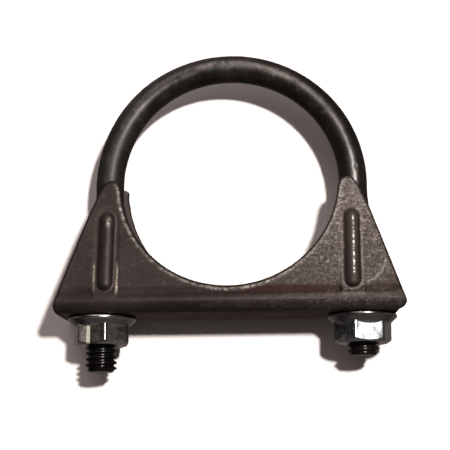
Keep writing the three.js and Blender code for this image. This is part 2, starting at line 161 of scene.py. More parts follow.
def build_rod():
    cols = 72
    phi = np.arange(cols) * 2 * math.pi / cols
    rows = []  # (centre, in-plane normal, radius per column)
    ty_l, ty_r = LEFT_END_Y + THREAD_LENGTH, RIGHT_END_Y + THREAD_LENGTH

    def leg_rows(end_y, thread_y, side):
        ys = list(np.arange(end_y, thread_y + 1.2, PITCH / 18))
        ys += list(np.linspace(ys[-1] + 0.35, FLARE_TOP_Y, 34))
        out = []
        ang = (math.pi - phi) if side < 0 else phi
        for y in ys:
            y = float(y)
            s = -y
            r_thread = ROOT_R + (MAJOR_R - ROOT_R) * thread_form(s / PITCH - ang / (2 * math.pi))
            w = smooth01((thread_y + 0.5 - y) / 2.4)
            r = ROD_R * (1 - w) + r_thread * w
            tip = ROOT_R - 0.25 + (y - end_y) * 1.0
            r = smin(r, tip, 0.12) if y - end_y < 2.0 else r
            slope = (flare_x(y + 0.05) - flare_x(y - 0.05)) / 0.1
            n = np.array([1.0, -slope, 0.0]) / math.hypot(1.0, slope)
            out.append((np.array([side * float(flare_x(y)), y, 0.0]), n * np.array([side, 1, 1]), r))
        return out

    rows += leg_rows(LEFT_END_Y, ty_l, -1)
    for a in np.linspace(math.pi, 0, 181)[0:]:
        # the crown is squeezed a little where it was bent, and its line is not quite perfect
        R = BEND_R + 0.16 * math.exp(-(((math.degrees(a) - 135) / 22) ** 2))
        c = np.array([R * math.cos(a) - 0.26 * math.sin(a) ** 2, R * math.sin(a), 0.0])
        n = np.array([math.cos(a), math.sin(a), 0.0])
        bend = math.sin(a)
        r = ROD_R * (1 - 0.012 * bend * np.abs(np.cos(phi)) + 0.004 * bend * np.abs(np.sin(phi)))
        rows.append((c, n, r))
    rows += leg_rows(RIGHT_END_Y, ty_r, 1)[::-1]

    B = np.array([0.0, 0.0, 1.0])
    verts = []
    for c, n, r in rows:
        verts.append(c[None] + np.asarray(r)[:, None] * (np.cos(phi)[:, None] * n[None] + np.sin(phi)[:, None] * B[None]))
    V = np.concatenate(verts)
    # faint hammering and draw marks, none in the threads
    mid = (V[:, 1] > ty_r + 2)
    idx = np.nonzero(mid)[0]
    cen = np.repeat(np.array([c for c, _, _ in rows]), cols, axis=0)
    d = V - cen
    d /= np.linalg.norm(d, axis=1)[:, None]
    V[idx] += d[idx] * (0.022 * wave(V[idx], 5.0, 1))[:, None]
    # a small nick on the right leg
    nick = np.exp(-(((V[:, 0] - 31.6) / 0.42) ** 2 + ((V[:, 1] - 3.6) / 0.36) ** 2)) * (V[:, 2] > 1.5)
    V -= d * (0.22 * nick)[:, None]
    faces = ring_faces(len(rows), cols)
    verts = list(V)
    # ends: sheared flat faces with a slightly rough middle
    for row, c, n, sgn in ((0, rows[0][0], rows[0][1], -1), (len(rows) - 1, rows[-1][0], rows[-1][1], -1)):
        prev = list(range(row * cols, (row + 1) * cols))
        r0 = np.asarray(rows[row][2])
        for f, dy in ((0.9, 0.0), (0.72, 0.05), (0.5, 0.08), (0.28, 0.06)):
            start = len(verts)
            for i in range(cols):
                p = c + f * r0[i] * (math.cos(phi[i]) * n + math.sin(phi[i]) * B)
                p = p + np.array([0, max(0.0, dy + 0.05 * noise.noise(Vector(p) / 0.8)), 0])
                verts.append(p)
            cur = list(range(start, start + cols))
            for i in range(cols):
                k = (i + 1) % cols
                faces.append((prev[i], cur[i], cur[k], prev[k]) if row == 0 else (prev[i], prev[k], cur[k], cur[i]))
            prev = cur
        verts.append(c + np.array([0, 0.05, 0]))
        m = len(verts) - 1
        for i in range(cols):
            k = (i + 1) % cols
            faces.append((prev[i], m, prev[k]) if row == 0 else (prev[i], prev[k], m))
    faces = flip_if_inside_out(verts, faces)
    V = np.array(verts)
    thread = smooth01((np.where(V[:, 0] < 0, ty_l, ty_r) + 0.5 - V[:, 1]) / 2.0)
    # painted highlight along the front crest of the bend, brightest over the crown
    off = np.where(V[:, 1] > 0, np.hypot(V[:, 0] + 0.26 * (V[:, 1] / BEND_R) ** 2, V[:, 1]) - BEND_R, np.abs(V[:, 0]) - flare_x(V[:, 1]))
    tilt = np.degrees(np.arctan2(off, np.maximum(V[:, 2], 1e-3)))
    crest = np.exp(-(((tilt - 10.0) / 11.0) ** 2)) * smooth01(V[:, 2] / 1.5) * (1 - thread)
    crest *= 0.34 + 0.66 * smooth01((V[:, 1] - 12.0) / 17.0)
    crest *= smooth01((V[:, 1] + 12.0) / 10.0)
    crest *= 1 - 0.66 * smooth01((-V[:, 0] - 5.0) / 9.0) - 0.30 * smooth01((V[:, 0] - 6.0) / 14.0)
    return make_object("rod", verts, faces, sharp_deg=50, attrs={"thread": thread, "crest": crest})


# ------------------------------------------------------------------ saddle
WALL_SLOPE = (WALL_REF_Z - WALL_TIP_Z) / (TIP_Y - WALL_REF_Y)
LEAN = math.atan(WALL_SLOPE)


def wall_z(y):
    return WALL_TIP_Z + WALL_SLOPE * (TIP_Y - y)


def outline_half():
    """Right half of a wall's edge as points from the middle of the seat, up round the ear and down to the fold."""
    pts = []
    a1 = math.asin(-2.9 / CRADLE_R)
    n = 72
    for i in range(n + 1):
        a = -math.pi / 2 + (a1 + math.pi / 2) * i / n
        pts.append((CRADLE_R * math.cos(a), CRADLE_R * math.sin(a)))
    ear = [(27.05, -2.0), (27.3, -1.1), (27.72, -0.35), (28.35, 0.24), (29.1, 0.47), (29.85, 0.40), (30.6, 0.03), (31.3, -0.72),
           (32.0, -1.76), (32.7, -3.2), (33.43, -4.9), (34.17, -6.65), (34.95, -8.6)]
    ctrl = [pts[-2], pts[-1]] + ear + [(35.66, -10.6)]
    for k in range(1, len(ctrl) - 2):
        p0, p1, p2, p3 = (np.array(ctrl[k + d]) for d in (-1, 0, 1, 2))
        seg = np.linalg.norm(p2 - p1)
        m = max(2, int(round(seg / 0.27)))
        # centripetal blend keeps the curve tight between uneven points
        for i in range(1, m + 1):
            t = i / m
            l0, l1, l2 = np.linalg.norm(p1 - p0), seg, np.linalg.norm(p3 - p2)
            m1 = (p2 - p0) / (l0 + l1) * seg
            m2 = (p3 - p1) / (l1 + l2) * seg
            h = ((2 * t**3 - 3 * t**2 + 1) * p1 + (t**3 - 2 * t**2 + t) * m1 + (-2 * t**3 + 3 * t**2) * p2 + (t**3 - t**2) * m2)
            pts.append((float(h[0]), float(h[1])))
    return pts


Y_FOLD = BASE_Y + FOLD_R + FOLD_R * math.sin(LEAN)  # where the flat wall meets the fold


def rib_height(x, y, half_w, top, end, rise, fillet):
    """Height of a pressed rib with round ends above its wall."""
    yy = np.clip(y, end + half_w, top - half_w)
    d = np.hypot(x, y - yy)
    R = (half_w**2 + rise**2) / (2 * rise)
    inside = np.sqrt(np.maximum(R * R - d * d, 0)) - (R - rise)
    inside = np.where(d > R * 0.98, -(d - half_w) * 2.0, inside)
    return smax(inside, np.zeros_like(inside), fillet) - fillet * 0.25


SCRATCH = [(38.2, -20.9), (37.75, -22.6), (37.0, -24.3), (35.4, -25.8), (33.7, -26.5)]


def lip_mask(X, Y):
    """Thin lips where the metal was pinched beside the left pad."""
    u = np.abs(np.abs(X) - RIB_X)
    m = np.exp(-(((u - PAD_W / 2 + 0.05) / 0.24) ** 2)) * smooth01((-20.3 - Y) / 2.2) * smooth01((Y + 29.0) / 1.2)
    return np.where(X < 0, m, 0.0)


def face_relief(X, Y, outer=True):
    """How far each point of a wall stands out of its plane."""
    ax = np.abs(X)
    u = (ax - RIB_X) * 1.0
    h = np.zeros_like(X)
    # pressed line along the foot, a long soft upper side and a short lower one, which stops at the pad under each rib
    pad = smooth01((PAD_W / 2 + 0.3 - np.abs(u)) / 0.6)
    press = 0.62 + 0.38 * smooth01((X + 27.0) / 7.0)
    broad = smooth01((-20.5 - Y) / 6.0) * smooth01((Y + 29.9) / 1.1)
    line = smooth01((-26.4 - Y) / 2.2) * smooth01((Y + 29.86) / 1.16)
    h -= (0.11 * broad + 0.25 * line * press) * (1 - pad)
    # the sheet sinks a little outside the left pad
    h -= 0.20 * np.exp(-(((X + 36.8) / 2.9) ** 2)) * np.exp(-(((Y + 27.6) / 2.4) ** 2)) * (1 - pad)
    if outer:
        h += 0.07 * lip_mask(X, Y)
        h += rib_height(u, Y, RIB_W / 2 - 0.12, RIB_TOP_Y, RIB_END_Y, RIB_RISE, 0.30)
        # the sheet is drawn down a little round the rib
        yy = np.clip(Y, RIB_END_Y + 2, RIB_TOP_Y - 2)
        d = np.hypot(u, Y - yy)
        h -= 0.07 * np.exp(-(((d - 2.55) / 0.55) ** 2))
    else:
        h += rib_height(u, Y, RIB_W / 2 - 0.75, RIB_TOP_Y - 0.8, RIB_END_Y + 0.8, RIB_RISE * 0.85, 0.25)
    return h


def end_x(y, side):
    """Where the saddle's end lies at height y on the fold. The right end's lower corner is trimmed."""
    lower = [41.3, 42.5, 42.94, 42.99] if side > 0 else [42.72, 42.93, 42.99, 42.99]
    return float(np.interp(y, [BASE_Y, -32.65, -31.9, -31.3, Y_FOLD, -8.6], lower + [slope_x(Y_FOLD), slope_x(-8.6)]))


def slope_x(y):
    """The sloping end of a wall, from the shoulder of the ear down to the fold."""
    return 34.95 + (-8.6 - y) * (42.98 - 34.95) / (31.3 - 8.6)


def build_saddle():
    half = outline_half()
    # down the sloping end, closer together towards the bottom corner
    y1 = half[-1][1]
    n_slope = 34
    for i in range(1, n_slope + 1):
        t = i / n_slope
        y = y1 + (Y_FOLD - y1) * t
        half.append((slope_x(y), y))
    right = np.array(half)
    n = len(right)
    # where each column meets the fold
    s = np.concatenate([[0], np.cumsum(np.linalg.norm(np.diff(right, axis=0), axis=1))])
    i_ear = 72
    i_sh = n - 1 - n_slope
    xb = np.empty(n)
    xb[: i_ear + 1] = np.interp(s[: i_ear + 1], [0, s[i_ear]], [0, 25.2])
    xb[: i_ear + 1] = 0.55 * xb[: i_ear + 1] + 0.45 * right[: i_ear + 1, 0] * 25.2 / right[i_ear, 0]
    xb[i_ear : i_sh + 1] = np.interp(s[i_ear : i_sh + 1], [s[i_ear], s[i_sh]], [25.2, 35.6])
    xe = right[-1, 0]
    xb[i_sh:] = np.interp(s[i_sh:], [s[i_sh], s[-1]], [35.6, xe])
    O = np.vstack([right[::-1] * np.array([-1, 1]), right[1:]])
    XB = np.concatenate([-xb[::-1], xb[1:]])
    N = len(O)

    tan = np.gradient(O, axis=0)
    tan /= np.linalg.norm(tan, axis=1)[:, None]
    out2 = np.stack([-tan[:, 1], tan[:, 0]], 1)  # left of the direction of travel, which is away from the metal

    R1, R2, RF, RW = 18, 54, 12, 14

    # ---- rows of one wall, from the edge down to the fold
    def wall_rows():
        H = O[:, 1] - Y_FOLD
        h1 = np.minimum(3.4, 0.6 * H)
        ys = []
        for j in range(R2):  # from the edge down
            t = j / R2
            ys.append(O[:, 1] - (H - h1) * t)
        for j in range(R1 + 1):
            t = j / R1
            ys.append(Y_FOLD + h1 * (1 - t))
        Y = np.array(ys)
        T = (O[:, 1][None] - Y) / np.maximum(H, 1e-9)[None]
        T = np.where(H[None] < 1e-6, 1.0, T)
        # columns lean from the edge to the fold, and are upright below the rib
        X = O[:, 0][None] * (1 - T) + XB[None] * T
        return X, Y

    Xw, Yw = wall_rows()
    J1 = len(Yw) - 1
    th = np.linspace(LEAN, -math.pi / 2, RF + 1)[1:]
    zc = wall_z(Y_FOLD) - FOLD_R * math.cos(LEAN)

    def surface(outer):
        """Grid of points and normals, front edge to back edge. Rows are J, columns are N."""
        off = 0.0 if outer else SHEET_T
        P, Nn = [], []
        up_n = np.array([0, math.sin(LEAN), math.cos(LEAN)])
        for side in (1, -1):
            rowsP, rowsN = [], []
            for j in range(J1 + 1):
                X, Y = Xw[j], Yw[j]
                h = face_relief(X, Y, outer)
                base = np.stack([X, Y, wall_z(Y)], 1)
                nn = np.tile(up_n, (N, 1))
                p = base + nn * (h - off)[:, None]
                rowsP.append(p * np.array([1, 1, side]))
                rowsN.append(nn * np.array([1, 1, side]))
            for a in th:
                r = FOLD_R - off
                y, z = BASE_Y + FOLD_R + r * math.sin(a), zc + r * math.cos(a)
                yo = BASE_Y + FOLD_R + FOLD_R * math.sin(a)
                f = (LEAN - a) / (LEAN + math.pi / 2)
                ye = yo if outer else BASE_Y + FOLD_R + FOLD_R * math.sin(a) * 0.7
                k = smooth01((np.abs(XB) - 36.5) / (xe - 36.5))
                X = XB + np.where(XB > 0, end_x(ye, 1) - xe, xe - end_x(ye, -1)) * k
                nn = np.tile(np.array([0, math.sin(a), math.cos(a)]), (N, 1))
                p = np.stack([X, np.full(N, y), np.full(N, z)], 1)
                if outer:  # the fold stands a little proud outside the pads
                    u = np.abs(np.abs(X) - RIB_X)
                    pad = smooth01((PAD_W / 2 + 0.22 - u) / 0.44)
                    bulge = 0.05 * (1 - pad) * math.exp(-((f / 0.35) ** 2))
                    p = p + nn * bulge[:, None]
                rowsP.append(p * np.array([1, 1, side]))
                rowsN.append(nn * np.array([1, 1, side]))
            P.append(rowsP)
            Nn.append(rowsN)
        front, back = P
        fN, bN = Nn
        k = smooth01((np.abs(XB) - 36.5) / (xe - 36.5))
        web_y = BASE_Y + off
        ye = BASE_Y if outer else BASE_Y + FOLD_R * 0.3
        X = XB + np.where(XB > 0, end_x(ye, 1) - xe, xe - end_x(ye, -1)) * k
        web, wN = [], []
        for j in range(1, RW):
            z = zc * (1 - 2 * j / RW)
            web.append(np.stack([X, np.full(N, web_y), np.full(N, z)], 1))
            wN.append(np.tile(np.array([0, -1.0, 0]), (N, 1)))
        rows = front + web + back[::-1]
        norms = fN + wN + bN[::-1]
        return np.array(rows), np.array(norms)

    Pout, Nout = surface(True)
    Pin, Nin = surface(False)
    J = len(Pout)

    # gentle unevenness of the pressed sheet, the same on both faces so that it keeps its thickness
    flat = Pout.reshape(-1, 3)
    w = wave(flat, 11.0, 5, 2).reshape(J, N)
    fade = np.ones((J, N))
    fade[J1 + RF : J - J1 - RF] = 0.0
    Pout = Pout + Nout * (0.035 * w * fade)[..., None]
    Pin = Pin + Nout * (0.035 * w * fade)[..., None]

    # the rear left ear has a squarer inner corner
    for P in (Pout, Pin):
        w = np.exp(-(((P[..., 0] + 27.75) / 0.95) ** 2 + ((P[..., 1] + 0.45) / 1.0) ** 2)) * (P[..., 2] < 0)
        P[..., 0] += 0.62 * w
        P[..., 1] += 0.62 * w

    # ---- perimeter, in order, with the outward direction in the sheet at each point
    per = [(0, i) for i in range(N)]
    per += [(j, N - 1) for j in range(1, J)]
    per += [(J - 1, i) for i in range(N - 2, -1, -1)]
    per += [(j, 0) for j in range(J - 2, 0, -1)]
    M = np.zeros((len(per), 3))
    for q, (j, i) in enumerate(per):
        sgn = 1 if j < J / 2 else -1
        slope_m = np.array([out2[i, 0], out2[i, 1] * math.cos(LEAN), -sgn * out2[i, 1] * math.sin(LEAN)])
        endm = np.array([1.0 if i > N / 2 else -1.0, 0, 0])
        if j in (0, J - 1) and 0 < i < N - 1:
            m = slope_m
        elif j <= J1 or j >= J - 1 - J1:
            m = slope_m + endm
        else:
            m = endm
        M[q] = m / np.linalg.norm(m)
    pj = np.array([p[0] for p in per])
    pi = np.array([p[1] for p in per])
    Eo, Ei = Pout[pj, pi].copy(), Pin[pj, pi].copy()
    no = Nout[pj, pi]
    wall_part = (pj <= J1) | (pj >= J - 1 - J1)
    ro = np.where(wall_part, 0.42, 0.75)
    ri = np.full(len(per), 0.16)
    # the sheared edge wanders slightly
    jit = 0.035 * wave(Eo, 2.2, 9, 2)
    Eo = Eo + M * jit[:, None]
    Ei = Ei + M * jit[:, None]
    d = Ei - Eo
    d /= np.linalg.norm(d, axis=1)[:, None]
    # pull the grids' own borders in by the edge radius
    Pout[pj, pi] = Eo - M * ro[:, None]
    Pin[pj, pi] = Ei - M * ri[:, None]

    def ease(P, E, r):
        """Not called, and does nothing: it returns P unchanged."""
        for axis_rows in (range(1, 4),):
            for k_ in axis_rows:
                f = (1 - k_ / 4.0) ** 2 * 0.0
        return P

    loops = []
    for t in (0.25, 0.5, 0.75, 1.0):
        A, C = Eo - M * ro[:, None], Eo + d * (ro * 0.85)[:, None]
        loops.append((1 - t) ** 2 * A + 2 * t * (1 - t) * Eo + t * t * C)
    # sheared band, then torn, then the burr side
    A0 = Eo + d * (ro * 0.85)[:, None]
    C0 = Ei - d * ri[:, None]
    for t in (0.33, 0.66):
        q = A0 * (1 - t) + C0 * t
        tear = 0.045 * wave(q * np.array([1, 1, 1]), 0.9, 12, 2) * (1 if t > 0.5 else 0.3)
        loops.append(q + M * (tear - (0.05 if t > 0.5 else 0.0))[:, None])
    for t in (0.0, 0.5):
        A, C = Ei - d * ri[:, None], Ei - M * ri[:, None]
        loops.append((1 - t) ** 2 * A + 2 * t * (1 - t) * Ei + t * t * C)

    verts = np.concatenate([Pout.reshape(-1, 3), Pin.reshape(-1, 3)] + loops)
    faces = []
    io = lambda j, i: j * N + i
    ii = lambda j, i: J * N + j * N + i
    for j in range(J - 1):
        for i in range(N - 1):
            faces.append((io(j, i), io(j + 1, i), io(j + 1, i + 1), io(j, i + 1)))
            faces.append((ii(j, i), ii(j, i + 1), ii(j + 1, i + 1), ii(j + 1, i)))
    L = len(per)
    ids = [[io(j, i) for j, i in per]]
    for k in range(len(loops)):
        b = 2 * J * N + k * L
        ids.append(list(range(b, b + L)))
    ids.append([ii(j, i) for j, i in per])
    for a, b in zip(ids[:-1], ids[1:]):
        for q in range(L):
            r = (q + 1) % L
            faces.append((a[q], a[r], b[r], b[q]))
    faces = flip_if_inside_out(verts, faces)

    # the back wall is set back at the right end
    across = np.clip((10.4 - verts[:, 2]) / 20.8, 0, 1)
    verts[:, 0] -= 1.7 * across * smooth01((verts[:, 0] - 37.2) / 5.85)

    # how close each point is to the edge that bears on the pipe, for the rubbed metal and painted highlight there
    from mathutils import kdtree

    kd = kdtree.KDTree(L)
    for q in range(L):
        if pj[q] in (0, J - 1) and abs(pi[q] - N // 2) < i_ear + 8:
            kd.insert(Vector(Eo[q]), q)
    kd.balance()
    dist = np.array([kd.find(Vector(v))[2] for v in verts])
    edge = np.exp(-(((dist - 0.85) / 0.36) ** 2))
    x_, y_ = verts[:, 0], verts[:, 1]
    wear_and_highlight = smooth01((-19.5 - x_) / 4.0) * smooth01((y_ + 19.0) / 5.0)  # the left ear has the most, as rubbed metal and painted highlight
    wear_and_highlight = np.maximum(wear_and_highlight, 0.8 * np.exp(-(((x_ + 3.2) / 3.4) ** 2)))
    wear_and_highlight = np.maximum(wear_and_highlight, 0.75 * np.exp(-(((x_ - 9.8) / 2.4) ** 2)))
    wear_and_highlight = np.maximum(wear_and_highlight, 0.45 * smooth01((x_ - 20.0) / 4.0))
    edge = edge * np.maximum(wear_and_highlight, 0.40)
    # dark cut faces, with painted shade on the rounded edge and on a thin band of the face beside it
    cut_and_edge_shade = np.zeros(len(verts))
    for k in range(1, len(loops)):
        cut_and_edge_shade[2 * J * N + k * L : 2 * J * N + (k + 1) * L] = 1.0
    cut_and_edge_shade[2 * J * N : 2 * J * N + L] = 0.7
    rest = kdtree.KDTree(L)
    for q in range(L):
        rest.insert(Vector(Eo[q]), q)
    rest.balance()
    far = np.array([rest.find(Vector(v))[2] for v in verts[: J * N]])
    cut_and_edge_shade[: J * N] = 0.9 * smooth01((0.66 - far) / 0.26)
    inner = np.zeros(len(verts))
    inner[J * N : 2 * J * N] = 1.0
    # the beads: a painted highlight along the crests, and a painted shadow along the right foot of each
    front = (inner < 0.5) & (verts[:, 2] > 0)
    u_ = np.abs(x_) - RIB_X
    along = smooth01((RIB_TOP_Y - 1.6 - y_) / 1.5) * smooth01((y_ - RIB_END_Y - 2.6) / 1.2)
    painted_bead_highlight = np.where(front & (x_ > 0), np.exp(-(((u_ - 0.36) / 0.17) ** 2)) * along, 0.0)
    top = np.exp(-(((x_ + 29.75) / 0.45) ** 2)) * smooth01((RIB_TOP_Y - 0.9 - y_) / 0.8) * smooth01((y_ + 12.6) / 1.6)
    painted_bead_highlight = np.where(front & (x_ < 0), 0.4 * top, painted_bead_highlight)
    right_foot = np.where(x_ > 0, u_, -u_)
    painted_bead_shadow = np.where(front, np.exp(-(((right_foot - RIB_W / 2 + 0.16) / 0.20) ** 2)), 0.0)
    painted_bead_shadow = painted_bead_shadow * smooth01((RIB_TOP_Y - 1.2 - y_) / 1.5) * smooth01((y_ - RIB_END_Y - 0.9) / 1.5)
    # painted highlight on the lips beside the left pad
    lips = np.where(front, lip_mask(x_, y_), 0.0)
    from_bead = np.hypot(u_, y_ - np.clip(y_, RIB_END_Y + 2, RIB_TOP_Y - 2))
    bead = np.where(front, smooth01((2.0 - from_bead) / 0.35), 0.0)
    # painted highlight round the rim of each bead, strongest on the right one
    bead_rim_highlight = np.where(front, np.exp(-(((from_bead - 2.38) / 0.26) ** 2)) * np.where(x_ > 0, 0.75, 0.15), 0.0)
    # one long light scratch low on the right
    line = np.array(SCRATCH)
    mark = np.full(len(verts), 99.0)
    for p, q in zip(line[:-1], line[1:]):
        t = np.clip(((x_ - p[0]) * (q[0] - p[0]) + (y_ - p[1]) * (q[1] - p[1])) / ((q - p) ** 2).sum(), 0, 1)
        mark = np.minimum(mark, np.hypot(x_ - p[0] - t * (q[0] - p[0]), y_ - p[1] - t * (q[1] - p[1])))
    mark = np.where(front, np.exp(-((mark / 0.24) ** 2)), 0.0)
    attrs = {"mark": mark, "edge": edge, "cut_and_edge_shade": cut_and_edge_shade, "inner": inner, "painted_bead_highlight": painted_bead_highlight, "painted_bead_shadow": painted_bead_shadow, "lips": lips, "bead": bead, "bead_rim_highlight": bead_rim_highlight, "pad": np.where(front, smooth01((PAD_W / 2 + 0.3 - np.abs(u_)) / 0.6), 0.0)}
    ob = make_object("saddle_sheet", verts, faces, sharp_deg=48, merge=0.006, attrs=attrs)

    # bolt holes through the web
    for x in (-STUD_X, STUD_X):
        c, k = 64, []
        f = []
        ys = (BASE_Y - 1.5, BASE_Y - 0.0, BASE_Y + SHEET_T, BASE_Y + SHEET_T + 1.2)
        for y in ys:
            for i in range(c):
                a = 2 * math.pi * i / c
                k.append((x + BOLT_HOLE_R * math.cos(a), y, BOLT_HOLE_R * math.sin(a)))
        f = ring_faces(len(ys), c)
        f.append(tuple(range(c)))
        f.append(tuple(reversed(range((len(ys) - 1) * c, len(ys) * c))))
        f = flip_if_inside_out(k, f)
        cutter = make_object("cutter", k, f)
        mod = ob.modifiers.new("hole", "BOOLEAN")
        mod.operation, mod.solver, mod.object = "DIFFERENCE", "EXACT", cutter
        dg = bpy.context.evaluated_depsgraph_get()
        new = bpy.data.meshes.new_from_object(ob.evaluated_get(dg))
        ob.modifiers.clear()
        old = ob.data
        ob.data = new
        bpy.data.meshes.remove(old)
        bpy.data.objects.remove(cutter)
    ob.data.name = "saddle_sheet"
    ob.data.set_sharp_from_angle(angle=math.radians(48))
    return ob


# ------------------------------------------------------------------ flange nuts
def build_nut(name, x, turn_deg, seed):
    """One closed surface of revolution-like rings: bearing face, flange, hexagon, end face, thread."""
    cols = 288
    ang = np.arange(cols) * 2 * math.pi / cols  # from +X towards +Z
    # the hexagon's corners, measured from +Z towards +X
    corner = math.pi / 2 - math.radians(turn_deg)
    d = np.mod(ang - corner + math.pi / 6, math.pi / 3) - math.pi / 6  # 0 at a corner
    R_in = NUT_AF / 2
    flat = R_in / np.cos(math.pi / 6 - np.abs(d))
    hex_r = smin(flat, np.full(cols, R_in / math.cos(math.pi / 6) - 0.08), 0.13)
    rings = []  # (offset from bearing face, radius array)
    full = lambda r: np.full(cols, float(r))

    def hex_at(s):
        """Hexagon body with its chamfered top, growing out of the cone of the flange."""
        top = NUT_H - s
        cone = R_in - 0.42 + top * 1.55
        r = smin(hex_r, full(cone), 0.18)
        fl = 8.11 - (s - 1.05) * 1.08 if s < 2.55 else 6.49 - (s - 2.55) * 2.2
        return smax(r, full(fl), 0.16)

    # bearing face, from the bore outwards, with a shallow dish
    for r, s in ((NUT_MINOR_R + 0.95, 0.0), (4.9, 0.03), (5.8, 0.05), (6.8, 0.04), (7.7, 0.02), (8.05, 0.0), (8.24, 0.03), (8.38, 0.1), (8.46, 0.2)):
        rings.append((s, full(r)))
    for r, s in ((8.5, 0.36), (8.495, 0.58), (8.455, 0.73), (8.35, 0.86), (8.19, 0.98)):
        rings.append((s, full(r)))
    for s in np.concatenate([np.linspace(1.1, 3.6, 34), np.linspace(3.75, NUT_H - 1.6, 8), np.linspace(NUT_H - 1.5, NUT_H - 0.06, 20)]):
        rings.append((float(s), hex_at(float(s))))
    r_top = rings[-1][1]
    for f, s in ((0.985, NUT_H - 0.015), (0.95, NUT_H), (0.88, NUT_H), (0.8, NUT_H)):
        rings.append((s, r_top * 0 + (R_in - 0.42) * f))
    bore0 = NUT_MINOR_R + 1.0
    rings.append((NUT_H, full(bore0 + 0.12)))
    rings.append((NUT_H - 0.03, full(bore0)))
    # countersink, thread, countersink
    y_face = BASE_Y - NUT_GAP
    c = 0.14
    for s in np.linspace(NUT_H - 0.12, 0.12, 110):
        y = y_face - s
        u = -y / PITCH - ang / (2 * math.pi)
        f = np.mod(u, 1.0)
        form = np.where(f < 0.17, 0.0, np.where(f < 0.47, (f - 0.17) / 0.3, np.where(f < 0.73, 1.0, (1.03 - f) / 0.3)))
        form = np.clip(np.where(f > 0.97, np.maximum(form, 0), form), 0, 1)
        r = np.maximum(ROOT_R + (MAJOR_R + c - ROOT_R) * form + c * 0.6, NUT_MINOR_R)
        sink = bore0 - min(s, NUT_H - s) * 1.0
        rings.append((float(s), np.maximum(r, sink)))
    rings.append((0.03, full(bore0)))
    verts = []
    for s, r in rings:
        y = y_face - s
        verts.append(np.stack([x + r * np.cos(ang), np.full(cols, y), r * np.sin(ang)], 1))
    V = np.concatenate(verts)
    # forged unevenness of the flange rim and the flats
    n_out = 9 + 5 + 34 + 8 + 20
    k = n_out * cols
    rad = V[:k] - np.array([x, 0, 0])
    rad[:, 1] = 0
    rad /= np.linalg.norm(rad, axis=1)[:, None]
    outer = V[:k]
    V[:k] = outer + rad * (0.045 * wave(outer, 3.2, seed, 2) * np.repeat(np.concatenate([np.zeros(7), np.ones(n_out - 7)]), cols))[:, None]
    # keep the rim inside its nominal size
    rr = np.hypot(V[:, 0] - x, V[:, 2])
    f = np.where(rr > FLANGE_R, FLANGE_R / np.maximum(rr, 1e-9), 1.0)
    V[:, 0] = x + (V[:, 0] - x) * f
    V[:, 2] *= f
    R = len(rings)
    faces = ring_faces(R, cols)
    a, b = (R - 1) * cols, 0
    for i in range(cols):
        j = (i + 1) % cols
        faces.append((a + i, a + j, b + j, b + i))
    faces = flip_if_inside_out(V, faces)
    # where the plating has dulled on the rim, and how far each point is along the front of the nut
    rr = np.hypot(V[:, 0] - x, V[:, 2])
    rim = smooth01((rr - 7.7) / 0.5)
    cone = smooth01((np.minimum(rr - 6.75, y_face - V[:, 1] - 0.85)) / 0.3)
    a = np.degrees(np.arctan2(V[:, 0] - x, V[:, 2]))
    off = np.abs((a - (turn_deg - 30) + 180) % 360 - 180)
    flat_d = rr * np.cos(np.radians(off))
    across = np.where((off < 31) & (flat_d > R_in - 0.35) & (flat_d < R_in + 0.14), rr * np.sin(np.radians(a - (turn_deg - 30))), 99.0)  # mm along the front flat
    return make_object(name, V, faces, sharp_deg=34, attrs={"rim": rim, "cone": cone, "across": across})


